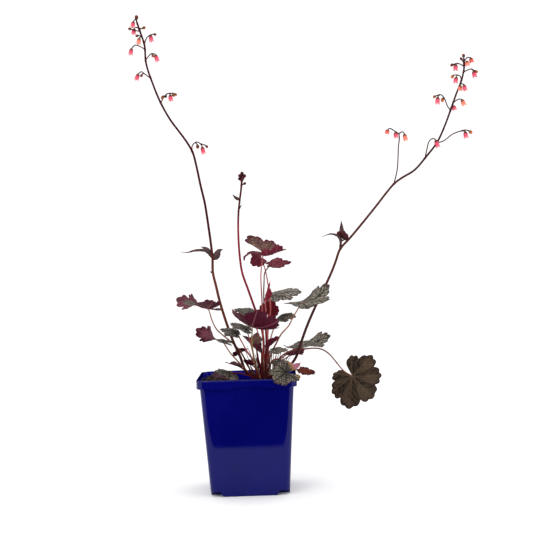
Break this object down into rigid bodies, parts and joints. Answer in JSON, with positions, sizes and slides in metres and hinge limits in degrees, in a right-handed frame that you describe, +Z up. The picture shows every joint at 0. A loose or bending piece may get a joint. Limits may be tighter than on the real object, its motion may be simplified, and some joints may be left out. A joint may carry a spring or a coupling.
{
  "type": "heuchera plant",
  "caption": "Heuchera (coral bells) in a square nursery pot: lobed silver, burgundy and bronze leaves on thin stalks below tall arching stems of small pink bells.",
  "frame": {"origin": "centre of the pot's underside, on the surface the pot stands on", "axes": "+Z up, +X to the right as seen from the front, +Y away to the back; the front is the side with the upturned leaf over the rim"},
  "size_m": [0.3888, 0.1268, 0.5315],
  "materials": {
    "pot": "glossy, moulded, deep blue",
    "soil": null,
    "crown": "rough, scaly, woody rhizome",
    "leaf_silver": "satin, silvered green-grey blade with dark veins, pink underside",
    "leaf_burgundy": "satin, burgundy underside with pink veins, dusky upper side",
    "leaf_red": "satin, young deep red blade",
    "leaf_bronze": "satin, dark bronze old blade with lighter veins",
    "leaf_dry": "matt, withered red-brown blade",
    "scape": "satin maroon stem with coral pink bells"
  },
  "bodies": {
    "root": {"pot": "pot", "soil": "soil", "crown": "crown", "leaf_top": "leaf_burgundy", "leaf_top_left": "leaf_burgundy", "leaf_top_right": "leaf_burgundy", "leaf_young": "leaf_burgundy", "leaf_upper_silver": "leaf_silver", "leaf_upper_red": "leaf_red", "leaf_right_silver": "leaf_silver", "leaf_right_inner": "leaf_silver", "leaf_centre_burgundy": "leaf_burgundy", "leaf_back_silver": "leaf_silver", "leaf_midleft_silver": "leaf_silver", "leaf_midleft_grey": "leaf_silver", "leaf_left_upper": "leaf_burgundy", "leaf_left_lower": "leaf_burgundy", "leaf_pot_left": "leaf_silver", "leaf_low_left": "leaf_burgundy", "leaf_pot_right": "leaf_silver", "leaf_dry": "leaf_dry", "leaf_right_middle": "leaf_silver", "leaf_bronze": "leaf_bronze", "leaf_low_right": "leaf_burgundy", "leaf_low_right_back": "leaf_burgundy", "leaf_inner_right": "leaf_burgundy", "leaf_inner_low_left": "leaf_burgundy", "leaf_inner_left": "leaf_burgundy", "leaf_inner_centre": "leaf_burgundy", "leaf_inner_back": "leaf_burgundy", "leaf_low_right_silver": "leaf_silver", "scape_left": "scape", "scape_centre": "scape", "scape_right": "scape"}
  },
  "joints": []
}
